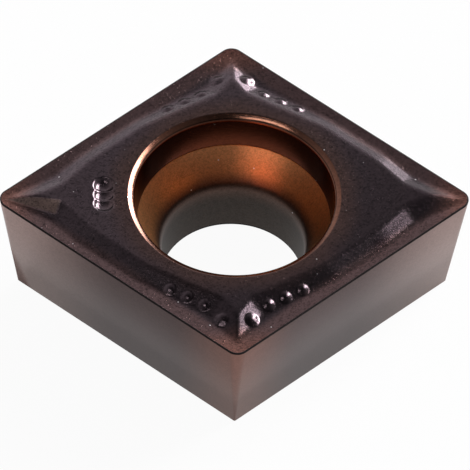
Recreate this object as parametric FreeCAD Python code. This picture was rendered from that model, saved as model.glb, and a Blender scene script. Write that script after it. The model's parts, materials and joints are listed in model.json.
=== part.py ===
import FreeCAD, Part
import math
import os

# Indexable turning insert, pressed and sintered in one piece. Lengths in millimetres, angles in degrees.
# The hole's axis is Z and the seating face lies on Z = 0. The two acute noses point along +X and -X,
# the two obtuse corners along +Y and -Y.

# Blank
inscribed_circle = 9.525
point_angle = 80.0
edge_height = 3.97
clearance_angle = 7.0
nose_radius = 0.4
heel_nose_radius = 0.05
edge_hone = 0.03

# Rake land, which falls inwards from the cutting edge
rake_angle = 8.0
land_reach = 1.3
valley_radius = 0.05

# Raised plateau that breaks the chip, with a sloping wall all round it
plateau_rise = 0.2
wall_angle = 26.5
wall_root = 0.3
root_margin = 0.1
plateau_setback = 0.89

# Facets of the wall: how far each one turns from the cutting edge, and where it starts
front_facet_turn = -9.0
back_facet_turn = 10.5
front_facet_from_nose = 3.2
back_facet_from_corner = 4.36
nose_ridge_turn = 12.0
nose_ridge_setback = 1.16
corner_ridge_turn = -16.0
corner_ridge_setback = 1.41

# Low chip knobs on the wall's back facets, and one beside each corner ridge
knob_sphere_radius = 0.41
knob_crown_rise = 0.1
knob_setout = 0.32
knob_row_start = 0.4
knob_pitch = 0.6
knob_count = 3
corner_knob_radius = 0.48
corner_knob_crown_rise = 0.115
corner_knob_setout = 0.33
corner_knob_step = 0.53

# Screw hole: bore with a chamfered foot, screw seat, slightly tapered upper stretch, chamfered mouth
bore_diameter = 4.4
bore_foot_chamfer = 0.08
seat_corner_height = 1.9
seat_angle = 35.0
seat_blend_radius = 0.6
seat_top_radius = 2.97
mouth_radius = 3.07
mouth_chamfer_width = 0.2
mouth_chamfer_depth = 0.13

# Three overlapping index dots, sunk in the plateau beside one acute nose
dot_offset = 4.0
dot_pitch = 0.36
dot_count = 3
dot_sphere_radius = 0.4
dot_depth = 0.17

half_width = inscribed_circle / 2
edge_normal = 90 - point_angle / 2
plateau_height = edge_height + plateau_rise
overshoot = 1.0
tolerance = 1e-6


def direction(angle):
    return FreeCAD.Vector(math.cos(math.radians(angle)), math.sin(math.radians(angle)), 0)


def slope(angle):
    return math.tan(math.radians(angle))


def crossing(first, second):
    """Point where two support lines meet. A line is the angle of its normal and its distance from the axis."""
    a = direction(first[0])
    b = direction(second[0])
    span = a.x * b.y - a.y * b.x
    return FreeCAD.Vector(
        (first[1] * b.y - second[1] * a.y) / span,
        (a.x * second[1] - b.x * first[1]) / span,
        0,
    )


def line_through(angle, point):
    return (angle, direction(angle).dot(point))


def all_round(quarter):
    """Mirrors the support lines of the first quarter into the other three, in order round the axis."""
    back = [(180 - angle, distance) for angle, distance in reversed(quarter)]
    half = list(quarter) + back
    return half + [(angle + 180, distance) for angle, distance in half]


def raised(point, height):
    return FreeCAD.Vector(point.x, point.y, height)


def polygon_wire(lines, height):
    corners = [crossing(line, lines[(i + 1) % len(lines)]) for i, line in enumerate(lines)]
    corners = [raised(corner, height) for corner in corners]
    return Part.makePolygon(corners + corners[:1])


def rounded_rhombus(half, radius, height):
    """Outline of the blank at one height: four straight sides joined by four corner arcs."""
    inner = all_round([(edge_normal, half - radius)])
    centres = [raised(crossing(line, inner[(i + 1) % 4]), height) for i, line in enumerate(inner)]
    edges = []
    for i, centre in enumerate(centres):
        before = inner[i][0]
        after = inner[(i + 1) % 4][0]
        if after < before:
            after += 360
        start = centre + direction(before) * radius
        middle = centre + direction((before + after) / 2) * radius
        end = centre + direction(after) * radius
        following = centres[(i + 1) % 4] + direction(after) * radius
        edges.append(Part.Arc(start, middle, end).toShape())
        edges.append(Part.LineSegment(end, following).toShape())
    return Part.Wire(edges)


def ruled_solid(lower, upper):
    """Solid between two outlines with like edges: flat faces between straight edges, ruled ones between arcs."""
    faces = [Part.Face(lower), Part.Face(upper)]
    for low, high in zip(lower.OrderedEdges, upper.OrderedEdges):
        if low.Curve.TypeId == "Part::GeomLine":
            start, end = [vertex.Point for vertex in low.Vertexes]
            above = [vertex.Point for vertex in high.Vertexes]
            faces.append(Part.Face(Part.makePolygon([start, end, above[1], above[0], start])))
        else:
            faces.append(Part.makeRuledSurface(low, high))
    shell = Part.Shell(faces)
    shell.sewShape()
    return Part.Solid(shell)


def blank():
    """Rhombic block whose flanks lean in by the clearance angle down to the seating face."""
    heel = rounded_rhombus(half_width - edge_height * slope(clearance_angle), heel_nose_radius, 0)
    edge = rounded_rhombus(half_width, nose_radius, edge_height)
    return ruled_solid(heel, edge)


def land_funnel():
    """Shallow funnel that is taken out of the top, and leaves the rake land behind the cutting edge."""
    depth = land_reach * slope(rake_angle)
    floor = rounded_rhombus(half_width - land_reach, valley_radius, edge_height - depth)
    rim = rounded_rhombus(half_width, nose_radius, edge_height)
    above = Part.Face(rim).extrude(FreeCAD.Vector(0, 0, overshoot))
    return ruled_solid(floor, rim).fuse(above)


def honed(body):
    """Rounds the cutting edge all the way round."""
    rim = [edge for edge in body.Edges if edge.BoundBox.ZMin > edge_height - tolerance]
    return body.makeFillet(edge_hone, rim)


def wall_lines():
    """Support lines of the plateau's outline, in the first quarter: main block, nose ridge, corner ridge."""
    nose = FreeCAD.Vector(half_width / math.sin(math.radians(point_angle / 2)), 0, 0)
    corner = FreeCAD.Vector(0, half_width / math.cos(math.radians(point_angle / 2)), 0)
    along = direction(edge_normal + 90)
    inwards = direction(edge_normal) * -plateau_setback
    middle = line_through(edge_normal, nose + inwards)
    front_start = nose + along * front_facet_from_nose + inwards
    back_start = corner - along * back_facet_from_corner + inwards
    front = line_through(edge_normal + front_facet_turn, front_start)
    back = line_through(edge_normal + back_facet_turn, back_start)

    nose_apex = nose.x - nose_radius * (1 / math.sin(math.radians(point_angle / 2)) - 1)
    corner_apex = corner.y - nose_radius * (1 / math.cos(math.radians(point_angle / 2)) - 1)
    nose_tip = FreeCAD.Vector(nose_apex - nose_ridge_setback, 0, 0)
    corner_tip = FreeCAD.Vector(0, corner_apex - corner_ridge_setback, 0)
    nose_ridge = line_through(edge_normal + nose_ridge_turn, nose_tip)
    corner_ridge = line_through(edge_normal + corner_ridge_turn, corner_tip)
    return [front, middle, back], [nose_ridge], [corner_ridge]


def walled_block(quarter):
    """Block with a flat top at plateau height, whose walls spread downwards at the wall angle."""
    depth = plateau_rise + wall_root
    spread = depth / slope(wall_angle)
    top = polygon_wire(all_round(quarter), plateau_height)
    wider = [(angle, distance + spread) for angle, distance in quarter]
    root = polygon_wire(all_round(wider), plateau_height - depth)
    return ruled_solid(root, top)


def plateau():
    """Main block with its nose ridges and corner ridges, kept inside the blank's flanks."""
    main, nose_ridge, corner_ridge = wall_lines()
    block = walled_block(main).fuse([walled_block(nose_ridge), walled_block(corner_ridge)])
    inside = rounded_rhombus(half_width - root_margin, nose_radius, plateau_height - plateau_rise - wall_root)
    limit = Part.Face(inside).extrude(FreeCAD.Vector(0, 0, plateau_rise + wall_root + overshoot))
    return block.common(limit)


def knob_places():
    """Centre, sphere radius and crown height of each knob in the first quarter."""
    main, nose_ridge, corner_ridge = wall_lines()
    back = main[-1]
    ridge = corner_ridge[0]
    start = crossing(back, ridge)
    row = start + direction(back[0]) * knob_setout
    places = []
    for i in range(knob_count):
        step = knob_row_start + i * knob_pitch
        centre = row - direction(back[0] + 90) * step
        places.append((centre, knob_sphere_radius, knob_crown_rise))
    beside_ridge = start + direction(ridge[0]) * corner_knob_setout
    beside_ridge += direction(ridge[0] + 90) * corner_knob_step
    places.append((beside_ridge, corner_knob_radius, corner_knob_crown_rise))
    return places


def knobs():
    shapes = []
    for centre, radius, crown in knob_places():
        height = edge_height + crown - radius
        for x_side in (1, -1):
            for y_side in (1, -1):
                place = FreeCAD.Vector(centre.x * x_side, centre.y * y_side, height)
                shapes.append(Part.makeSphere(radius, place))
    return shapes


def index_dots():
    height = plateau_height + dot_sphere_radius - dot_depth
    first = -dot_pitch * (dot_count - 1) / 2
    places = [FreeCAD.Vector(-dot_offset, first + i * dot_pitch, height) for i in range(dot_count)]
    return [Part.makeSphere(dot_sphere_radius, place) for place in places]


def screw_hole():
    """Revolved cutter: chamfered foot, straight bore, arc into the conical screw seat, upper stretch, mouth."""
    bore_radius = bore_diameter / 2
    tangent = seat_blend_radius * slope(seat_angle / 2)
    lean = math.radians(seat_angle)
    half_lean = math.radians(seat_angle / 2)
    arc_centre_r = bore_radius + seat_blend_radius
    arc_centre_z = seat_corner_height - tangent
    seat_top_height = seat_corner_height + (seat_top_radius - bore_radius) / math.tan(lean)

    def at(radius, height):
        return FreeCAD.Vector(radius, 0, height)

    def on_arc(angle):
        return at(arc_centre_r - seat_blend_radius * math.cos(angle),
                  arc_centre_z + seat_blend_radius * math.sin(angle))

    chamfer_foot = at(mouth_radius, plateau_height - mouth_chamfer_depth)
    chamfer_top = at(mouth_radius + mouth_chamfer_width, plateau_height)
    blend = Part.Arc(on_arc(0), on_arc(half_lean), on_arc(lean)).toShape()
    foot_radius = bore_radius + bore_foot_chamfer
    below = Part.makePolygon([
        at(0, -overshoot),
        at(foot_radius, -overshoot),
        at(foot_radius, 0),
        at(bore_radius, bore_foot_chamfer),
        on_arc(0),
    ])
    above = Part.makePolygon([
        on_arc(lean),
        at(seat_top_radius, seat_top_height),
        chamfer_foot,
        chamfer_top,
        at(chamfer_top.x, plateau_height + overshoot),
        at(0, plateau_height + overshoot),
        at(0, -overshoot),
    ])
    outline = Part.Wire(below.Edges + [blend] + above.Edges)
    return Part.Face(outline).revolve(FreeCAD.Vector(0, 0, 0), FreeCAD.Vector(0, 0, 1), 360)


def insert_body():
    body = honed(blank().cut(land_funnel()))
    body = body.fuse([plateau()] + knobs())
    body = body.cut([screw_hole()] + index_dots())
    return body.removeSplitter()


os.makedirs("parts", exist_ok=True)
insert = insert_body().Solids[0]
insert.exportStep("parts/insert_body.step")
print("volume", round(insert.Volume, 3), "faces", len(insert.Faces), "valid", insert.isValid())
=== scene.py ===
import json
import math
from types import SimpleNamespace

import bmesh
import bpy
import numpy as np
from bpy.props import FloatProperty, FloatVectorProperty, IntProperty, PointerProperty
from mathutils import Matrix, Vector


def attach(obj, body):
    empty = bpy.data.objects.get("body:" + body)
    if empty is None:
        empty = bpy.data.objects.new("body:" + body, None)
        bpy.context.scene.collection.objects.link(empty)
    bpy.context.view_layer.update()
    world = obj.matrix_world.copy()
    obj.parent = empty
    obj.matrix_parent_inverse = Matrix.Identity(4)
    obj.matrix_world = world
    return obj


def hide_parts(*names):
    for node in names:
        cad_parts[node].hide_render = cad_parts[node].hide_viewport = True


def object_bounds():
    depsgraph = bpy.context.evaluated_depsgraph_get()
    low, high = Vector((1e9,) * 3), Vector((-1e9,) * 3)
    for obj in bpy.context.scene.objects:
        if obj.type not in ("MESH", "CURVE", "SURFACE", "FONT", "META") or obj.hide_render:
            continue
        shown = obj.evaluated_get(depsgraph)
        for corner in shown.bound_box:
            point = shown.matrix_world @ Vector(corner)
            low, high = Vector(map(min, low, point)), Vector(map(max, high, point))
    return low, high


bl_info = {
    "name": "Turning insert",
    "version": (1, 0, 0),
    "blender": (4, 5, 0),
    "location": "View3D > Sidebar > Insert",
    "description": "Models and coats the turning insert round its packed solid, and sets up its studio",
    "category": "Object",
}

NODE = "insert_body"
PIECE = "turning_insert"
MM = 0.001

# Rise of the flat top over the cutting edge, in metres
PLATEAU_RISE = 0.2 * MM

# Lengths in millimetres
NOSE_RADIUS = 0.4
SAME_HEIGHT = 1e-5

# Angle between faces, in radians, from which an edge counts as sharp
SHARP_ANGLE = 1.0

# Studio, in metres, and the camera's sensor, in millimetres
LAMP_DISTANCE = 0.6
FLOOR_RADIUS = 3.0
CAMERA_TARGET = (-0.0044 * MM, -1.4476 * MM, 3.97 * MM)
SENSOR_WIDTH = 36.0

# Way to the darkest part of the surroundings
CEILING_WAY = (0, -0.35, 0.937)

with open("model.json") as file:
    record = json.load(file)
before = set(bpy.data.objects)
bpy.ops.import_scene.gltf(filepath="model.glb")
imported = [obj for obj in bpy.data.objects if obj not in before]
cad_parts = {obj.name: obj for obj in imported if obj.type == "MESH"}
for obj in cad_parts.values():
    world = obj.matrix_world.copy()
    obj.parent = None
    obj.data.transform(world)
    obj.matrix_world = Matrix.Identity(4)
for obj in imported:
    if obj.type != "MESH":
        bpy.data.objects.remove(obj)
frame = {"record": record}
cad_low, cad_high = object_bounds()
mounts = {mount["name"]: mount for mount in frame["record"]["mounts"]}
bore = mounts["screw_bore"]
flank = mounts["flank_right_back"]
lean_in = -flank["axis"][2]
plan_angle = math.atan2(flank["axis"][1], flank["axis"][0])
flank_reach = Vector(flank["axis"]).dot(Vector(flank["pos_m"]))
plateau_height = cad_high.z
edge_height = plateau_height - PLATEAU_RISE
half_width = (flank_reach + edge_height * lean_in) / math.sqrt(1 - lean_in * lean_in)


def length(name, description, metres):
    return FloatProperty(name=name, description=description, default=metres, unit="LENGTH", precision=6)


def turn(name, description, degrees):
    return FloatProperty(name=name, description=description, default=math.radians(degrees), subtype="ANGLE")


def colour(name, description, rgb):
    return FloatVectorProperty(name=name, description=description, default=rgb, size=3, subtype="COLOR")


def amount(name, description, value):
    return FloatProperty(name=name, description=description, default=value)


def count(name, description, value):
    return IntProperty(name=name, description=description, default=value)


class BlankSizes(bpy.types.PropertyGroup):
    half_width: length("Half width", "From the hole's axis to a cutting edge", half_width)
    edge_height: length("Edge height", "Height of the cutting edge", edge_height)
    plateau_height: length("Plateau height", "Height of the flat top", plateau_height)
    edge_normal: turn("Edge normal", "Direction in which a cutting edge faces", math.degrees(plan_angle))
    clearance: turn("Clearance", "Lean of the flanks", math.degrees(math.asin(lean_in)))
    nose_radius: length("Nose radius", "Corner radius at the cutting edge", NOSE_RADIUS * MM)
    heel_nose_radius: length("Heel radius", "Corner radius at the seating face", 0.05 * MM)
    edge_hone: length("Edge hone", "Rounding of the cutting edge", 0.035 * MM)
    heel_rounding: length("Heel rounding", "Rounding of the edge below the flanks", 0.04 * MM)


class BreakerSizes(bpy.types.PropertyGroup):
    rake: turn("Rake", "Fall of the land behind the cutting edge", 8.0)
    wall: turn("Wall", "Slope of the plateau's wall", 26.5)
    setback: length("Setback", "From the cutting edge to the plateau at mid-edge", 0.89 * MM)
    front_turn: turn("Front facet", "Turn of the facet near the nose", -9.0)
    back_turn: turn("Back facet", "Turn of the facet near the obtuse corner", 10.5)
    front_from_nose: length("Front facet start", "Along the edge from the nose", 3.2 * MM)
    back_from_corner: length("Back facet start", "Along the edge from the corner", 4.36 * MM)
    nose_ridge_turn: turn("Nose ridge", "Turn of the ridge's sides at the nose", 12.0)
    nose_ridge_setback: length("Nose ridge setback", "From the nose to the ridge's top", 1.16 * MM)
    corner_ridge_turn: turn("Corner ridge", "Turn of the ridge's sides at the corner", -16.0)
    corner_ridge_setback: length("Corner ridge setback", "From the corner to the ridge's top", 1.41 * MM)
    top_blend: length("Top blend", "Rounding of the wall's upper crease, as a height", 0.05 * MM)
    foot_blend: length("Foot blend", "Rounding of the wall's lower crease, as a height", 0.07 * MM)
    facet_blend: length("Facet blend", "Rounding between facets, as a height", 0.02 * MM)
    ridge_blend: length("Ridge blend", "Rounding along the ridges", 0.05 * MM)


class KnobSizes(bpy.types.PropertyGroup):
    radius: length("Knob radius", "Foot radius of the knobs in the row", 0.20 * MM)
    rise: length("Knob rise", "Height of the row's knobs over the wall", 0.068 * MM)
    setout: length("Knob setout", "From the facet's top to the row", 0.40 * MM)
    row_start: length("Row start", "From the corner ridge to the first knob", 0.42 * MM)
    pitch: length("Pitch", "Between the row's knobs", 0.6 * MM)
    number: count("Knobs", "Knobs in each row", 3)
    taper: amount("Knob taper", "Power to which a knob's round section is raised", 1.3)
    corner_radius: length("Corner knob radius", "Foot radius of the knob beside the ridge", 0.24 * MM)
    corner_rise: length("Corner knob rise", "Height of that knob over the ridge's side", 0.078 * MM)
    corner_setout: length("Corner knob setout", "From the ridge's top to the knob", 0.445 * MM)
    corner_step: length("Corner knob step", "Along the ridge's side to the knob", 0.56 * MM)
    dot_offset: length("Dot offset", "From the hole's axis to the index dots", 4.0 * MM)
    dot_pitch: length("Dot pitch", "Between the index dots", 0.36 * MM)
    dot_radius: length("Dot radius", "Sphere of an index dot", 0.4 * MM)
    dot_depth: length("Dot depth", "Depth of an index dot", 0.17 * MM)
    dot_blend: length("Dot rim", "Rounding of a dot's rim, as a height", 0.02 * MM)


class HoleSizes(bpy.types.PropertyGroup):
    bore_radius: length("Bore radius", "Radius of the straight bore", bore["dims"]["r_mm"] * MM)
    foot_chamfer: length("Foot chamfer", "Chamfer at the bore's foot", 0.08 * MM)
    seat_corner: length("Seat corner", "Height where the bore and the seat would meet", 1.9 * MM)
    seat_blend: length("Seat blend", "Rounding between the bore and the seat", 0.6 * MM)
    seat_angle: turn("Seat angle", "Lean of the screw seat from the axis", 35.0)
    seat_top_radius: length("Seat top radius", "Radius above the seat", 2.97 * MM)
    mouth_radius: length("Mouth radius", "Radius below the mouth's chamfer", 3.07 * MM)
    chamfer_width: length("Chamfer width", "Width of the mouth's chamfer", 0.2 * MM)
    chamfer_depth: length("Chamfer depth", "Depth of the mouth's chamfer", 0.13 * MM)
    foot_rounding: length("Foot rounding", "Rounding of the foot chamfer's two edges", 0.02 * MM)
    seat_rounding: length("Seat rounding", "Rounding above the screw seat", 0.03 * MM)
    chamfer_rounding: length("Chamfer rounding", "Rounding below the mouth's chamfer", 0.05 * MM)
    lip_rounding: length("Lip rounding", "Rounding between the chamfer and the flat top", 0.06 * MM)


class MeshFineness(bpy.types.PropertyGroup):
    nose_steps: count("Nose steps", "Faces round an acute nose", 24)
    corner_steps: count("Corner steps", "Faces round an obtuse corner", 16)
    side_steps: count("Side steps", "Faces along a cutting edge", 180)
    land_strip: length("Land strip", "Width of the strip just inside the cutting edge", 0.25 * MM)
    land_rows: count("Land rows", "Rows of faces in that strip", 6)
    top_rows: count("Top rows", "Rows of faces from the strip to the hole", 80)


class Finish(bpy.types.PropertyGroup):
    plateau: colour("Plateau", "Reflectance of the coating on the flat top", (0.140, 0.104, 0.117))
    # Painted shade: the plateau's tint darkens towards the right and the front, standing in for the weaker
    # light there
    painted_shade: amount("Shade", "Share of the plateau's tint left towards the right and the front", 0.6)
    rim: colour("Rim", "Reflectance of the coating along the edges", (0.205, 0.131, 0.131))
    nose: colour("Nose", "Reflectance at the noses", (0.42, 0.20, 0.16))
    flank: colour("Flank", "Reflectance of the flanks", (0.106, 0.071, 0.069))
    # Painted reflection: the flanks are lighter towards the noses and the corners, where the floor they
    # mirror is better lit
    flank_nose_painted_reflection: colour("Flank nose", "Reflectance of the flanks at the acute noses", (0.36, 0.252, 0.228))
    flank_corner_painted_reflection: colour("Flank corner", "Reflectance of the flanks at the corners", (0.240, 0.126, 0.102))
    ring: colour("Ring", "Reflectance of the flat top at the hole", (0.16, 0.098, 0.088))
    mouth: colour("Mouth", "Reflectance of the mouth's chamfer", (0.27, 0.124, 0.084))
    band: colour("Band", "Reflectance of the hole above the screw seat", (0.17, 0.045, 0.022))
    seat: colour("Seat", "Reflectance of the screw seat", (0.82, 0.37, 0.155))
    # Painted shade: the screw seat's rounded foot is tinted dark for the dark surroundings it reflects
    seat_foot_painted_shade: colour("Seat foot", "Reflectance of the screw seat's rounded foot", (0.16, 0.095, 0.075))
    carbide: colour("Carbide", "Reflectance of the bare bore", (0.082, 0.068, 0.060))
    speck: colour("Speck", "Reflectance of the bright specks", (0.90, 0.85, 0.85))
    # Painted shade: the rounded cutting edge is near black and not metallic, a painted dark outline along
    # the edges
    painted_dark_hone: colour("Hone", "Reflectance of the rounded cutting edge", (0.020, 0.015, 0.015))
    # Painted light: a matt, non-metallic patch on the facet beside the left nose, which shows lit where the
    # metal around it stays dark
    painted_light_patch: colour("Worn", "Reflectance of the matt patch beside the left nose", (0.150, 0.100, 0.088))
    roughness: amount("Roughness", "Roughness of the coating", 0.18)
    flank_roughness: amount("Flank roughness", "Roughness of the flanks", 0.34)
    mouth_roughness: amount("Mouth roughness", "Roughness of the mouth's chamfer", 0.16)
    seat_roughness: amount("Seat roughness", "Roughness of the screw seat", 0.34)
    bore_roughness: amount("Bore roughness", "Roughness of the bare bore", 0.5)
    hone_roughness: amount("Hone roughness", "Roughness of the rounded cutting edge", 0.7)
    # Roughness of the painted light patch beside the left nose
    painted_light_patch_roughness: amount("Worn roughness", "Roughness of the matt patch beside the left nose", 0.6)
    grain: length("Grain", "Size of the surface grain", 0.045 * MM)
    grain_depth: length("Grain depth", "Depth of the surface grain", 0.0028 * MM)
    speck_spacing: length("Speck spacing", "Between the centres of bright specks", 0.5 * MM)
    speck_size: length("Speck size", "Radius of a bright speck", 0.028 * MM)


class Studio(bpy.types.PropertyGroup):
    floor: colour("Floor", "Colour of the floor", (0.88, 0.88, 0.88))
    floor_white: amount("Floor white", "Share of plain white that the camera sees in the floor", 0.95)
    floor_gleam: amount("Floor gleam", "Share of plain white that metal and glass show in the floor", 0.5)
    floor_drop: length("Floor drop", "Gap between the insert and the floor", 0.005 * MM)
    horizon: colour("Horizon", "Light from the studio's walls", (0.67, 0.66, 0.68))
    ceiling: colour("Ceiling", "Light from overhead", (0.03, 0.03, 0.032))
    ceiling_start: amount("Ceiling start", "Cosine to the darkest way, where darkening begins", -0.1)
    panel_tint: colour("Panel tint", "Colour of the long panel beside the insert", (0.96, 0.97, 1.0))
    azimuth: turn("Azimuth", "Direction of the camera", -2.274)
    elevation: turn("Elevation", "Height of the camera", 50.473)
    roll: turn("Roll", "Tilt of the camera", 1.838)
    distance: length("Distance", "From the camera to its target", 253.70 * MM)
    lens: amount("Lens", "Focal length in millimetres on a 36 mm sensor", 637.0)


SETTINGS = {
    "insert_blank": BlankSizes,
    "insert_breaker": BreakerSizes,
    "insert_knobs": KnobSizes,
    "insert_hole": HoleSizes,
    "insert_mesh": MeshFineness,
    "insert_finish": Finish,
    "insert_studio": Studio,
}


def in_millimetres(group):
    """The values of a property group by name, with its lengths in millimetres."""
    values = {}
    for name in group.__annotations__:
        value = getattr(group, name)
        is_length = group.bl_rna.properties[name].unit == "LENGTH"
        values[name] = value / MM if is_length else value
    return SimpleNamespace(**values)


def direction(angle):
    return Vector((math.cos(angle), math.sin(angle), 0))


# Outlines and the hole

def add_outline(bm, blank, mesh, inset, radius, height):
    """Loop of edges round the blank: four corner arcs joined by straight sides."""
    reach = blank.half_width - inset - radius
    normal = blank.edge_normal
    nose = reach / math.cos(normal)
    corner = reach / math.sin(normal)
    arcs = [
        (Vector((nose, 0, height)), -normal, 2 * normal, mesh.nose_steps),
        (Vector((0, corner, height)), normal, math.pi - 2 * normal, mesh.corner_steps),
        (Vector((-nose, 0, height)), math.pi - normal, 2 * normal, mesh.nose_steps),
        (Vector((0, -corner, height)), math.pi + normal, math.pi - 2 * normal, mesh.corner_steps),
    ]
    ends = []
    for centre, start, sweep, steps in arcs:
        first = bm.verts.new(centre + direction(start) * radius)
        spun = bmesh.ops.spin(bm, geom=[first], cent=centre, axis=(0, 0, 1), angle=sweep, steps=steps)
        ends.append((first, spun["geom_last"][0]))
    sides = [bm.edges.new((last, ends[(i + 1) % 4][0])) for i, (first, last) in enumerate(ends)]
    bmesh.ops.subdivide_edges(bm, edges=sides, cuts=mesh.side_steps - 1)


def is_level(edge, height):
    return all(abs(vertex.co.z - height) < SAME_HEIGHT for vertex in edge.verts)


def open_rings(bm, heights):
    """Edges of the rings at these heights that still lack a face."""
    return [
        edge for edge in bm.edges
        if len(edge.link_faces) < 2 and any(is_level(edge, height) for height in heights)
    ]


def bridge(bm, lower, upper, rows=1):
    """Joins the open rings at two heights by a band of faces, in so many rows."""
    rings = open_rings(bm, (lower, upper))
    band = bmesh.ops.bridge_loops(bm, edges=rings)
    if rows > 1:
        spokes = [edge for edge in band["edges"] if not is_level(edge, lower) and not is_level(edge, upper)]
        bmesh.ops.subdivide_edges(bm, edges=spokes, cuts=rows - 1)


def round_ring(bm, height, rounding):
    """Rounds the sharp ring of edges at a height."""
    ring = [
        edge for edge in bm.edges
        if is_level(edge, height) and edge.is_manifold and edge.calc_face_angle() > SHARP_ANGLE
    ]
    bmesh.ops.bevel(
        bm, geom=ring, offset=rounding, offset_type="OFFSET", segments=3,
        profile=0.5, affect="EDGES", material=-1,
    )


def hole_profile(hole, top):
    """Corners of the hole's section as (radius, height, rounding), from the seating face to the flat top."""
    seat_top = hole.seat_corner + (hole.seat_top_radius - hole.bore_radius) / math.tan(hole.seat_angle)
    foot = hole.bore_radius + hole.foot_chamfer
    lip = hole.mouth_radius + hole.chamfer_width
    margin = 0.1
    return [
        (foot + margin, 0, 0),
        (foot, 0, hole.foot_rounding),
        (hole.bore_radius, hole.foot_chamfer, hole.foot_rounding),
        (hole.bore_radius, hole.seat_corner, hole.seat_blend * math.tan(hole.seat_angle / 2)),
        (hole.seat_top_radius, seat_top, hole.seat_rounding),
        (hole.mouth_radius, top - hole.chamfer_depth, hole.chamfer_rounding),
        (lip, top, hole.lip_rounding),
        (lip + margin, top, 0),
    ]


def add_hole(bm, hole, top, steps):
    """Wall of the hole, spun from its section."""
    corners = hole_profile(hole, top)
    points = [bm.verts.new((radius, 0, height)) for radius, height, rounding in corners]
    for first, second in zip(points, points[1:]):
        bm.edges.new((first, second))
    for point, (radius, height, rounding) in zip(points, corners):
        if rounding:
            bmesh.ops.bevel(
                bm, geom=[point], offset=rounding, offset_type="OFFSET", segments=4,
                profile=0.5, affect="VERTICES", material=-1,
            )
    bmesh.ops.spin(
        bm, geom=bm.verts[:] + bm.edges[:], cent=(0, 0, 0), axis=(0, 0, 1), angle=math.tau, steps=steps,
        use_merge=True,
    )


# Pressed form of the top, as heights over the seating face

def lower_of(first, second, blend):
    """The lower of two heights, rounded where they cross."""
    near = np.maximum(blend - np.abs(first - second), 0)
    return np.minimum(first, second) - near * near / (4 * blend)


def higher_of(first, second, blend):
    return -lower_of(-first, -second, blend)


def support(angle, point):
    """A facet's support line: the plan angle of its normal, and its distance from the axis."""
    return angle, direction(angle).dot(point)


def crossing(first, second):
    """Plan place where two support lines meet."""
    a, b = direction(first[0]), direction(second[0])
    span = a.x * b.y - a.y * b.x
    across = (first[1] * b.y - second[1] * a.y) / span
    away = (a.x * second[1] - b.x * first[1]) / span
    return Vector((across, away, 0))


def facets(blank, breaker):
    """Support lines in the first quarter: front, middle and back facet, nose ridge and corner ridge."""
    normal = blank.edge_normal
    nose = Vector((blank.half_width / math.cos(normal), 0, 0))
    corner = Vector((0, blank.half_width / math.sin(normal), 0))
    along = direction(normal + math.pi / 2)
    inwards = direction(normal) * -breaker.setback
    front = support(normal + breaker.front_turn, nose + along * breaker.front_from_nose + inwards)
    middle = support(normal, nose + inwards)
    back = support(normal + breaker.back_turn, corner - along * breaker.back_from_corner + inwards)
    nose_apex = nose.x - blank.nose_radius * (1 / math.cos(normal) - 1)
    corner_apex = corner.y - blank.nose_radius * (1 / math.sin(normal) - 1)
    nose_tip = Vector((nose_apex - breaker.nose_ridge_setback, 0, 0))
    corner_tip = Vector((0, corner_apex - breaker.corner_ridge_setback, 0))
    nose_ridge = support(normal + breaker.nose_ridge_turn, nose_tip)
    corner_ridge = support(normal + breaker.corner_ridge_turn, corner_tip)
    return front, middle, back, nose_ridge, corner_ridge


def knob_places(knobs, back, corner_ridge):
    """Plan place, foot radius and rise of each knob in the first quarter."""
    start = crossing(back, corner_ridge)
    row = start + direction(back[0]) * knobs.setout
    along = direction(back[0] + math.pi / 2)
    places = [
        (row - along * (knobs.row_start + i * knobs.pitch), knobs.radius, knobs.rise)
        for i in range(knobs.number)
    ]
    beside = start + direction(corner_ridge[0]) * knobs.corner_setout
    beside += direction(corner_ridge[0] + math.pi / 2) * knobs.corner_step
    return places + [(beside, knobs.corner_radius, knobs.corner_rise)]


def inset_from_edge(blank, x, y):
    """Distance in from the cutting edge, of places in the first quarter."""
    normal = blank.edge_normal
    reach = blank.half_width - blank.nose_radius
    outwards = x * math.cos(normal) + y * math.sin(normal) - reach
    along = y * math.cos(normal) - x * math.sin(normal)
    nose_end = -reach * math.tan(normal)
    corner_end = reach / math.tan(normal)
    past_end = along - np.clip(along, nose_end, corner_end)
    return blank.nose_radius - np.where(outwards > 0, np.hypot(outwards, past_end), outwards)


def pressed_height(x, y, blank, breaker, knobs):
    """Height of the pressed top over each place."""
    right, deep = np.abs(x), np.abs(y)
    soft_right = np.hypot(right, breaker.ridge_blend)
    soft_deep = np.hypot(deep, breaker.ridge_blend)
    top = blank.plateau_height
    land = blank.edge_height - math.tan(breaker.rake) * inset_from_edge(blank, right, deep)
    front, middle, back, nose_ridge, corner_ridge = facets(blank, breaker)

    def wall(line, across, away):
        distance = across * math.cos(line[0]) + away * math.sin(line[0]) - line[1]
        return top - math.tan(breaker.wall) * distance

    main = lower_of(wall(front, right, deep), wall(middle, right, deep), breaker.facet_blend)
    main = lower_of(main, wall(back, right, deep), breaker.facet_blend)
    form = higher_of(main, wall(nose_ridge, right, soft_deep), breaker.facet_blend)
    form = higher_of(form, wall(corner_ridge, soft_right, deep), breaker.facet_blend)
    form = lower_of(form, np.full_like(x, top), breaker.top_blend)
    form = higher_of(form, land, breaker.foot_blend)
    for place, radius, rise in knob_places(knobs, back, corner_ridge):
        spread = np.minimum(np.hypot(right - place.x, deep - place.y) / radius, 1)
        form = form + rise * (1 - spread ** 2) ** knobs.taper
    for i in (-1, 0, 1):
        spread = np.hypot(x + knobs.dot_offset, y - i * knobs.dot_pitch)
        dip = top + knobs.dot_radius - knobs.dot_depth
        dip = dip - np.sqrt(np.maximum(knobs.dot_radius ** 2 - spread ** 2, 0))
        dip += np.maximum(spread - knobs.dot_radius, 0)
        form = lower_of(form, dip, knobs.dot_blend)
    return form


# The body

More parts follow.
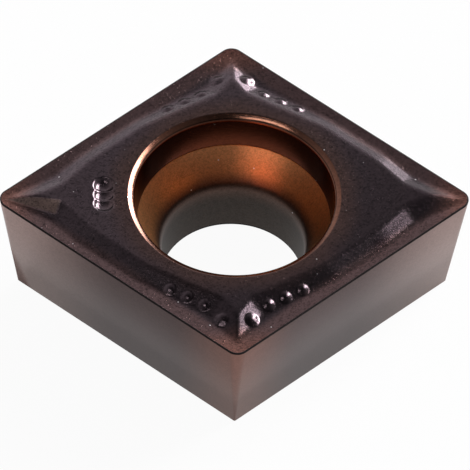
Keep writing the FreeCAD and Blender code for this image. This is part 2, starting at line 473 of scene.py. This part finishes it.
def insert_mesh(scene):
    """The whole insert as one closed mesh, modelled in millimetres and brought to metres at the end."""
    blank = in_millimetres(scene.insert_blank)
    breaker = in_millimetres(scene.insert_breaker)
    knobs = in_millimetres(scene.insert_knobs)
    hole = in_millimetres(scene.insert_hole)
    mesh = in_millimetres(scene.insert_mesh)
    steps = 2 * mesh.nose_steps + 2 * mesh.corner_steps + 4 * mesh.side_steps
    top = blank.plateau_height
    strip = mesh.land_strip
    land_height = blank.edge_height - strip * math.tan(breaker.rake)
    bm = bmesh.new()
    add_hole(bm, hole, top, steps)
    heel_inset = blank.edge_height * math.tan(blank.clearance)
    rounding = blank.heel_rounding
    add_outline(bm, blank, mesh, heel_inset + rounding, blank.heel_nose_radius - rounding / 2, 0)
    add_outline(bm, blank, mesh, heel_inset, blank.heel_nose_radius, rounding)
    add_outline(bm, blank, mesh, 0, blank.nose_radius, blank.edge_height)
    add_outline(bm, blank, mesh, strip, blank.nose_radius - strip / 4, land_height)
    bmesh.ops.triangle_fill(bm, use_beauty=True, use_dissolve=False, edges=open_rings(bm, (0,)))
    bridge(bm, 0, rounding)
    bridge(bm, rounding, blank.edge_height)
    bridge(bm, blank.edge_height, land_height, mesh.land_rows)
    bridge(bm, land_height, top, mesh.top_rows)

    lip = hole.mouth_radius + hole.chamfer_width
    pressed = [
        vertex for vertex in bm.verts
        if vertex.co.z > land_height - SAME_HEIGHT and vertex.co.xy.length > lip
    ]
    places = np.array([vertex.co for vertex in pressed])
    heights = pressed_height(places[:, 0], places[:, 1], blank, breaker, knobs)
    for vertex, height in zip(pressed, heights):
        vertex.co.z = height
    round_ring(bm, blank.edge_height, blank.edge_hone)
    bmesh.ops.recalc_face_normals(bm, faces=bm.faces)
    for face in bm.faces:
        face.smooth = True
    bmesh.ops.scale(bm, vec=(MM, MM, MM), verts=bm.verts)
    return bm


# Shaders

class Wire:
    """A socket on which sums, products and powers add Math nodes."""

    def __init__(self, shader, socket):
        self.shader = shader
        self.socket = socket

    def __add__(self, other):
        return self.shader.maths("ADD", self, other)

    def __sub__(self, other):
        return self.shader.maths("SUBTRACT", self, other)

    def __mul__(self, other):
        return self.shader.maths("MULTIPLY", self, other)

    def __pow__(self, other):
        return self.shader.maths("POWER", self, other)

    def __rsub__(self, other):
        return self.shader.maths("SUBTRACT", other, self)

    def __neg__(self):
        return self.shader.maths("MULTIPLY", self, -1)

    __radd__ = __add__
    __rmul__ = __mul__


class Shader:
    """The node tree of a material or world."""

    def __init__(self, owner):
        owner.use_nodes = True
        self.tree = owner.node_tree
        self.tree.nodes.clear()

    def add(self, kind, settings=None, inputs=None, output=0):
        """A node of this type with its settings and socket values. Returns one of its outputs."""
        node = self.tree.nodes.new(kind)
        for name, value in (settings or {}).items():
            setattr(node, name, value)
        for name, value in (inputs or {}).items():
            if isinstance(value, Wire):
                self.tree.links.new(value.socket, node.inputs[name])
            else:
                node.inputs[name].default_value = value
        outlet = node.outputs[output] if node.outputs else None
        return Wire(self, outlet)

    def maths(self, operation, first, second=0.0):
        return self.add("ShaderNodeMath", {"operation": operation}, {0: first, 1: second})

    def step(self, value, low, high):
        """0 below low and 1 above high, with a smooth rise between."""
        ends = {"Value": value, "From Min": low, "From Max": high}
        return self.add("ShaderNodeMapRange", {"interpolation_type": "SMOOTHSTEP"}, ends)

    def mix(self, share, first, second):
        """A colour between two."""
        tints = {6: first, 7: second}
        tints = {key: tint if isinstance(tint, Wire) else (*tint, 1) for key, tint in tints.items()}
        return self.add("ShaderNodeMix", {"data_type": "RGBA"}, {0: share, **tints}, output=2)


# The coating

BLACK = (0, 0, 0)

# Where the coating's zones fade in: a low and a high place each, in millimetres
FADE = SimpleNamespace(
    # painted shade over the plateau, towards the right and the front
    painted_shade=(-2.0, 4.0),
    rim=(0.36, 0.66),
    nose=(5.8, 7.4),
    corner=(4.9, 6.0),
    ring=(3.2, 4.1),
    # painted dark outline along the rounded cutting edge
    hone_inset=(0.046, 0.058),
    hone_height=(3.90, 3.915),
    # painted light patch beside the left nose
    painted_light_patch_end=(5.16, 5.30),
    painted_light_patch_front=(2.86, 2.98),
    painted_light_patch_back=(1.20, 1.30),
    left=(0.0, 0.01),
    front=(0.0, 0.05),
    flank=(0.0, 0.01),
    # painted reflection that lightens the flanks towards the corners and the noses
    flank_corner_painted_reflection=(0.1, 2.0),
    flank_nose_painted_reflection=(3.4, 7.2),
    mouth_radius=(3.24, 3.30),
    mouth_height=(0.01, 0.03),
    # painted shade: a dark line round the mouth's chamfer, in place of a small groove
    painted_groove_start=(3.105, 3.115),
    painted_groove_end=(3.130, 3.140),
    band=(4.03, 4.07),
    seat=(2.99, 3.03),
    seat_foot_painted_shade=(1.95, 2.4),
    # painted shade on the screw seat's rounded foot
    bare_height=(1.2, 2.1),
    bare_radius=(2.45, 2.6),
    # painted shade: a black line at the bore's foot
    painted_foot_shade=(0.12, 0.15),
)

# Slopes of the zones' sides
LEAN = SimpleNamespace(painted_shade=0.7, flank=0.5, end=0.36, front=0.414, back=0.191)

# How much each pattern wavers a zone, tints the coating or raises its surface
SHARE = SimpleNamespace(
    waver=0.5,
    rim_waver=0.4,
    flank_waver=0.5,
    seat_waver=0.4,
    bare_waver=0.5,
    corner=0.9,
    # share of black in the painted shade lines round the mouth's chamfer and at the bore's foot
    dark_line=0.8,
    blotch=0.6,
    grain=1.2,
    sparkle=0.6,
    calm_flank=0.75,
    calm_mouth=0.6,
    darkening=0.12,
    speck_core=0.6,
    sparkle_relief=0.4,
    flat_flank=0.8,
    flat_mouth=0.7,
)


def insert_places(shader):
    """Object coordinates in millimetres, and the distances on the insert that follow from them."""
    place = shader.add("ShaderNodeTexCoord", output="Object")
    place = shader.add("ShaderNodeVectorMath", {"operation": "SCALE"}, {0: place, "Scale": 1 / MM})
    split = shader.add("ShaderNodeSeparateXYZ", None, {0: place})
    x, y, z = (Wire(shader, socket) for socket in split.socket.node.outputs)
    right = shader.maths("ABSOLUTE", x)
    deep = shader.maths("ABSOLUTE", y)
    inset = half_width / MM - right * math.cos(plan_angle) - deep * math.sin(plan_angle)
    reach = half_width / MM - NOSE_RADIUS
    along = deep * math.cos(plan_angle) - right * math.sin(plan_angle)
    past_corner = shader.maths("MAXIMUM", along - reach / math.tan(plan_angle), 0)
    past_nose = shader.maths("MAXIMUM", -reach * math.tan(plan_angle) - along, 0)
    outwards = shader.maths("MAXIMUM", NOSE_RADIUS - inset, 0)
    from_edge = NOSE_RADIUS - (outwards ** 2 + (past_corner + past_nose) ** 2) ** 0.5
    return SimpleNamespace(
        place=place, x=x, y=y, z=z, right=right, deep=deep, inset=inset, from_edge=from_edge,
        radius=(x * x + y * y) ** 0.5, below=edge_height / MM - z,
    )


def coat_zones(shader, at, wavy, painted_shade):
    """Mask of each zone of the coating: 1 inside it and 0 outside."""
    step = shader.step
    # Painted shade: the plateau darkens towards the right and the front
    away = step((at.x - at.y) * LEAN.painted_shade, *FADE.painted_shade)
    mouth = (1 - step(at.radius, *FADE.mouth_radius)) * step(at.z, *FADE.mouth_height)
    # Painted shade: a dark line round the mouth's chamfer, standing in for a small groove that breaks its
    # highlight
    seam = step(at.radius, *FADE.painted_groove_start) * (1 - step(at.radius, *FADE.painted_groove_end))
    bare = 1 - step(at.z + wavy * SHARE.bare_waver, *FADE.bare_height)
    # Painted light: a matt patch on the facet beside the left nose
    painted_light_patch = step(at.right - at.deep * LEAN.end, *FADE.painted_light_patch_end)
    painted_light_patch = painted_light_patch * (1 - step(at.deep + at.right * LEAN.front, *FADE.painted_light_patch_front))
    painted_light_patch = painted_light_patch * step(at.deep + at.right * LEAN.back, *FADE.painted_light_patch_back)
    return SimpleNamespace(
        painted_shade=1 - away * (1 - painted_shade),
        rim=1 - step(at.inset + wavy * SHARE.rim_waver, *FADE.rim),
        nose=step(at.right + wavy, *FADE.nose) + step(at.deep + wavy, *FADE.corner) * SHARE.corner,
        ring=1 - step(at.radius + wavy, *FADE.ring),
        # Painted shade: a dark outline along the rounded cutting edge
        painted_dark_hone=(1 - step(at.from_edge, *FADE.hone_inset)) * step(at.z, *FADE.hone_height),
        painted_light_patch=painted_light_patch * step(-at.x, *FADE.left) * step(-at.y, *FADE.front),
        flank=step(at.below * LEAN.flank - at.from_edge, *FADE.flank) * (1 - mouth),
        # Painted reflection: flanks lighter towards the corners and the noses
        flank_corner_painted_reflection=1 - step(at.right, *FADE.flank_corner_painted_reflection),
        flank_nose_painted_reflection=step(at.right + wavy * SHARE.flank_waver, *FADE.flank_nose_painted_reflection),
        mouth=mouth,
        seam=seam * SHARE.dark_line,
        band=(1 - step(at.z, *FADE.band)) * mouth,
        seat=(1 - step(at.z, *FADE.seat)) * mouth,
        # Painted shade on the seat's rounded foot
        seat_foot_painted_shade=(1 - step(at.z + wavy * SHARE.seat_waver, *FADE.seat_foot_painted_shade)) * mouth,
        bare=bare * (1 - step(at.radius, *FADE.bare_radius)) * mouth,
        # Painted shade: a black line at the foot of the bore
        painted_foot_shade=(1 - step(at.z, *FADE.painted_foot_shade)) * mouth * SHARE.dark_line,
    )


def coat_tint(shader, zone, finish):
    """Colour of the coating by zone, each laid over those before it."""
    # Painted reflection: the flank's tint lightens towards its ends, where it mirrors a better-lit floor
    flank = shader.mix(zone.flank_corner_painted_reflection, finish.flank, finish.flank_corner_painted_reflection)
    flank = shader.mix(zone.flank_nose_painted_reflection, flank, finish.flank_nose_painted_reflection)
    layers = (
        (zone.rim, finish.rim),
        (zone.nose, finish.nose),
        (zone.ring, finish.ring),
        (zone.painted_light_patch, finish.painted_light_patch),
        (zone.flank, flank),
        (zone.painted_dark_hone, finish.painted_dark_hone),
        # the mouth's chamfer, with its painted shade line
        (zone.mouth, shader.mix(zone.seam, finish.mouth, BLACK)),
        (zone.band, finish.band),
        (zone.seat, finish.seat),
        # painted shade on the seat's rounded foot
        (zone.seat_foot_painted_shade, finish.seat_foot_painted_shade),
        (zone.bare, finish.carbide),
        # painted shade at the foot of the bore
        (zone.painted_foot_shade, BLACK),
    )
    # The plateau's tint, with its painted shade towards the right and the front
    tint = shader.mix(zone.painted_shade, BLACK, finish.plateau)
    for mask, layer in layers:
        tint = shader.mix(mask, tint, layer)
    return tint


def coat(material, finish):
    """The coating, tinted by place: violet plateau, browner edges, copper noses and seat, bare bore."""
    sizes = in_millimetres(finish)
    shader = Shader(material)
    at = insert_places(shader)
    fine = {"Vector": at.place, "Scale": 1 / sizes.grain}
    grain = shader.add("ShaderNodeTexNoise", None, {**fine, "Detail": 2.0})
    fleck = shader.add("ShaderNodeTexVoronoi", None, fine, output="Color")
    sparkle = shader.add("ShaderNodeSeparateColor", None, {0: fleck})
    blotch = shader.add("ShaderNodeTexNoise", None, {"Vector": at.place, "Scale": 6.0, "Detail": 3.0})
    cloud = shader.add("ShaderNodeTexNoise", None, {"Vector": at.place, "Scale": 0.7, "Detail": 4.0})
    zone = coat_zones(shader, at, (cloud - 0.5) * SHARE.waver, finish.painted_shade)

    spots = (blotch - 0.5) * SHARE.blotch + (grain - 0.5) * SHARE.grain + (sparkle - 0.5) * SHARE.sparkle
    spots = spots * (1 - zone.flank * SHARE.calm_flank) * (1 - zone.mouth * SHARE.calm_mouth)
    tint = shader.mix(spots + SHARE.darkening, coat_tint(shader, zone, finish), BLACK)
    scattered = {"Vector": at.place, "Scale": 1 / sizes.speck_spacing}
    from_speck = shader.add("ShaderNodeTexVoronoi", None, scattered, output="Distance")
    speck_end = sizes.speck_size / sizes.speck_spacing
    speck = 1 - shader.step(from_speck, SHARE.speck_core * speck_end, speck_end)
    tint = shader.mix(speck * (1 - zone.bare) * (1 - zone.flank), tint, finish.speck)

    relief = (grain + sparkle ** 3 * SHARE.sparkle_relief) * (1 - zone.flank * SHARE.flat_flank)
    relief = relief * (1 - zone.mouth * SHARE.flat_mouth)
    bump = shader.add(
        "ShaderNodeBump", None, {"Strength": 1.0, "Distance": finish.grain_depth, "Height": relief}
    )
    rough = finish.roughness + zone.flank * (finish.flank_roughness - finish.roughness)
    rough = rough + zone.mouth * (finish.mouth_roughness - finish.roughness)
    rough = rough + zone.seat * (finish.seat_roughness - finish.mouth_roughness)
    rough = rough + zone.bare * (finish.bore_roughness - finish.seat_roughness)
    rough = rough + zone.painted_dark_hone * (finish.hone_roughness - finish.roughness)
    rough = rough + zone.painted_light_patch * (finish.painted_light_patch_roughness - finish.roughness)
    surface = shader.add(
        "ShaderNodeBsdfPrincipled", None,
        {
            # The painted dark outline on the edges and the painted lit patch beside the left nose are not
            # metallic
            "Base Color": tint, "Metallic": 1 - zone.painted_dark_hone - zone.painted_light_patch, "Roughness": rough, "Normal": bump,
            "Specular IOR Level": 0.1,
        },
    )
    shader.add("ShaderNodeOutputMaterial", None, {"Surface": surface})


# Studio

def floor_material(studio):
    """Pale floor that shows white to the camera and to metal, and keeps part of the shadow."""
    material = bpy.data.materials.new("studio_floor")
    shader = Shader(material)
    lit = shader.add("ShaderNodeBsdfDiffuse", None, {"Color": (*studio.floor, 1)})
    white = shader.add("ShaderNodeEmission", None, {"Color": (1, 1, 1, 1), "Strength": 1.0})
    path = shader.add("ShaderNodeLightPath")
    outs = path.socket.node.outputs
    reflected = Wire(shader, outs["Is Glossy Ray"]) + Wire(shader, outs["Is Transmission Ray"])
    share = Wire(shader, outs["Is Camera Ray"]) * studio.floor_white + reflected * studio.floor_gleam
    surface = shader.add("ShaderNodeMixShader", None, {0: share, 1: lit, 2: white})
    shader.add("ShaderNodeOutputMaterial", None, {"Surface": surface})
    return material


def add_lamp(name, towards, across, width, height, radiance, tint=(1, 1, 1)):
    """Area lamp that faces the insert from a direction, its width along another, with a given radiance."""
    data = bpy.data.lights.new(name, "AREA")
    data.shape = "RECTANGLE"
    data.size = width
    data.size_y = height
    data.energy = radiance * math.pi * width * height
    data.color = tint
    lamp = bpy.data.objects.new(name, data)
    away = Vector(towards).normalized()
    upright = away.cross(Vector(across)).normalized()
    turn_to = Matrix((upright.cross(away), upright, away)).transposed().to_4x4()
    lamp.matrix_world = Matrix.Translation(away * LAMP_DISTANCE) @ turn_to
    bpy.context.scene.collection.objects.link(lamp)


def add_camera(studio):
    data = bpy.data.cameras.new("camera")
    data.sensor_width = SENSOR_WIDTH
    data.lens = studio.lens
    data.clip_start = 0.01
    data.clip_end = 10.0
    camera = bpy.data.objects.new("camera", data)
    az, el = studio.azimuth, studio.elevation
    back = Vector((math.sin(az) * math.cos(el), -math.cos(az) * math.cos(el), math.sin(el)))
    forward = -back
    right = forward.cross(Vector((0, 0, 1))).normalized()
    up = right.cross(forward)
    turned_right = right * math.cos(studio.roll) + up * math.sin(studio.roll)
    turned_up = up * math.cos(studio.roll) - right * math.sin(studio.roll)
    turn_to = Matrix((turned_right, turned_up, back)).transposed().to_4x4()
    camera.matrix_world = Matrix.Translation(Vector(CAMERA_TARGET) + back * studio.distance) @ turn_to
    bpy.context.scene.collection.objects.link(camera)
    bpy.context.scene.camera = camera


def light_world(studio):
    """Plain studio surroundings, darkest overhead a little to the front."""
    world = bpy.data.worlds.new("studio")
    bpy.context.scene.world = world
    shader = Shader(world)
    way = shader.add("ShaderNodeTexCoord", output="Generated")
    along = shader.add(
        "ShaderNodeVectorMath", {"operation": "DOT_PRODUCT"}, {0: way, 1: CEILING_WAY}, output="Value"
    )
    share = shader.add(
        "ShaderNodeMapRange", None, {"Value": along, "From Min": studio.ceiling_start, "From Max": 1.0}
    )
    tint = shader.mix(share, studio.horizon, studio.ceiling)
    sky = shader.add("ShaderNodeBackground", None, {"Color": tint, "Strength": 1.0})
    shader.add("ShaderNodeOutputWorld", None, {"Surface": sky})


class INSERT_OT_model(bpy.types.Operator):
    """Model the insert round its solid and coat it"""

    bl_idname = "insert.model"
    bl_label = "Model the insert"

    def execute(self, context):
        bm = insert_mesh(context.scene)
        mesh = bpy.data.meshes.new(PIECE)
        bm.to_mesh(mesh)
        bm.free()
        material = bpy.data.materials.new("carbide_coating")
        coat(material, context.scene.insert_finish)
        mesh.materials.append(material)
        piece = bpy.data.objects.new(PIECE, mesh)
        context.scene.collection.objects.link(piece)
        finish = piece.modifiers.new("even shading", "WEIGHTED_NORMAL")
        finish.keep_sharp = True
        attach(piece, "root")
        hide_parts(NODE)
        return {"FINISHED"}


class INSERT_OT_stage(bpy.types.Operator):
    """Set the floor, the lights and the camera"""

    bl_idname = "insert.stage"
    bl_label = "Set the studio"

    def execute(self, context):
        studio = context.scene.insert_studio
        context.scene.view_settings.view_transform = "Standard"
        bm = bmesh.new()
        under = Matrix.Translation((0, 0, -studio.floor_drop))
        bmesh.ops.create_circle(bm, cap_ends=True, segments=64, radius=FLOOR_RADIUS, matrix=under)
        mesh = bpy.data.meshes.new("floor")
        bm.to_mesh(mesh)
        bm.free()
        mesh.materials.append(floor_material(studio))
        floor = bpy.data.objects.new("floor", mesh)
        context.scene.collection.objects.link(floor)
        light_world(studio)
        add_lamp(
            "side_panel", towards=(0.671, 0.627, 0.466), across=(-0.567, 0.426, 0.705),
            width=0.17, height=0.69, radiance=8.0, tint=studio.panel_tint,
        )
        add_lamp(
            "strip", towards=(0.709, 0.577, 0.416), across=(0.281, -0.758, 0.589),
            width=0.42, height=0.10, radiance=18.0,
        )
        add_lamp(
            "key", towards=(0.665, 0.646, 0.37), across=(1, -1, 0),
            width=0.09, height=0.09, radiance=30.0,
        )
        add_lamp(
            "front_fill", towards=(-0.5, -0.81, 0.33), across=(1, -0.6, 0),
            width=0.45, height=0.22, radiance=0.55,
        )
        add_lamp(
            "overhead", towards=(-0.31, -0.375, 0.874), across=(-0.4, 0.27, -0.10),
            width=0.32, height=0.04, radiance=6.0,
        )
        add_camera(studio)
        return {"FINISHED"}


class INSERT_PT_panel(bpy.types.Panel):
    """Lists the insert's sizes, finish and studio"""

    bl_label = "Turning insert"
    bl_idname = "INSERT_PT_panel"
    bl_space_type = "VIEW_3D"
    bl_region_type = "UI"
    bl_category = "Insert"

    def draw(self, context):
        self.layout.operator(INSERT_OT_model.bl_idname)
        self.layout.operator(INSERT_OT_stage.bl_idname)
        for name, settings in SETTINGS.items():
            box = self.layout.box()
            box.label(text=settings.__name__)
            for value in settings.__annotations__:
                box.prop(getattr(context.scene, name), value)


CLASSES = (*SETTINGS.values(), INSERT_OT_model, INSERT_OT_stage, INSERT_PT_panel)


def register():
    for kind in CLASSES:
        bpy.utils.register_class(kind)
    for name, settings in SETTINGS.items():
        setattr(bpy.types.Scene, name, PointerProperty(type=settings))


def unregister():
    for name in SETTINGS:
        delattr(bpy.types.Scene, name)
    for kind in reversed(CLASSES):
        bpy.utils.unregister_class(kind)


def main():
    register()
    bpy.ops.insert.model()
    bpy.ops.insert.stage()
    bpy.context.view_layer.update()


if __name__ == "__main__":
    main()
